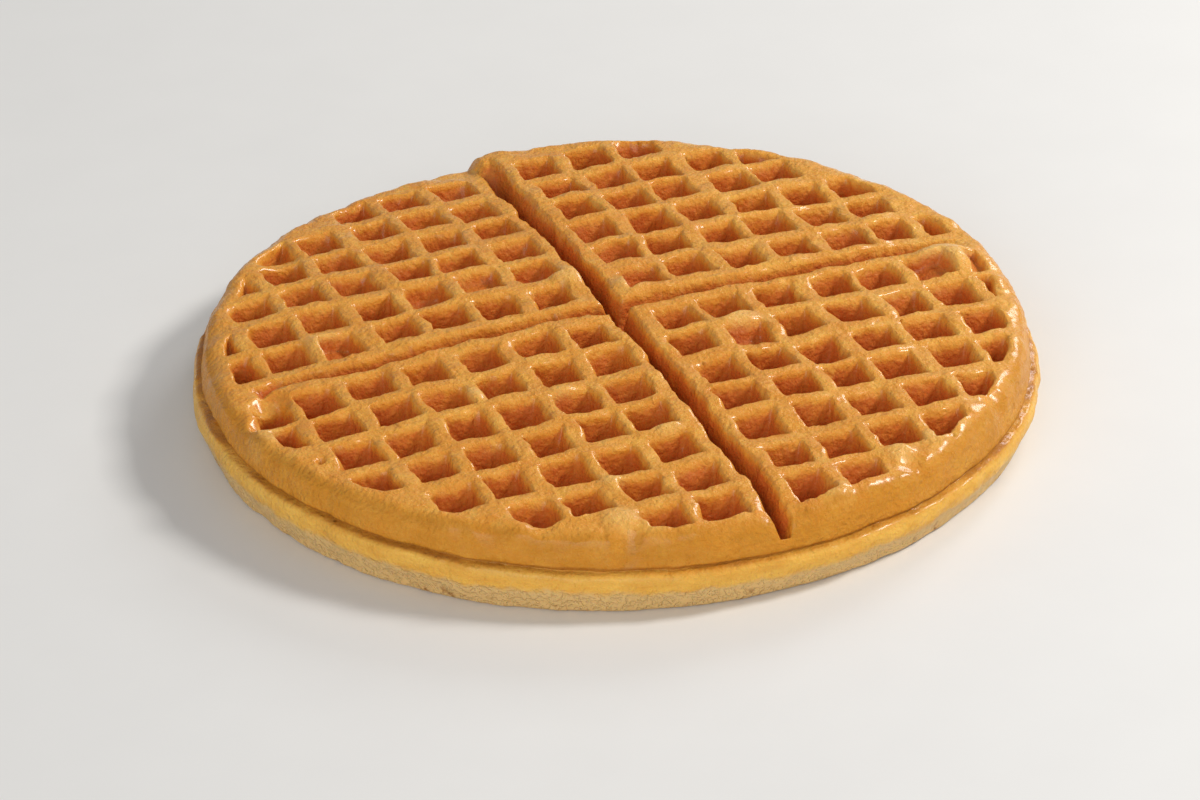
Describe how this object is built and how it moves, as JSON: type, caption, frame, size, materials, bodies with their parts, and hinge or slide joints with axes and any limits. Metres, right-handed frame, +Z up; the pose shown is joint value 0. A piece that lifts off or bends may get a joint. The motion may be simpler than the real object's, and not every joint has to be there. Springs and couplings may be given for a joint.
{
  "type": "round waffle",
  "caption": "Round browned waffle with square pockets on both faces, a cross groove that marks its quarters, and a beaded rim.",
  "frame": {"origin": "centre of the underside, in the plane on which the waffle rests", "axes": "+Z up through the waffle, out of its pocketed top; the two grooves that mark the quarters run along X and Y, and cross 1.2 mm along X and 3 mm along Y from the centre"},
  "size_m": [0.178, 0.178, 0.0208],
  "materials": {
    "crust": "golden brown baked crust with a slight buttery sheen"
  },
  "bodies": {
    "root": {"waffle": "crust"}
  },
  "joints": []
}
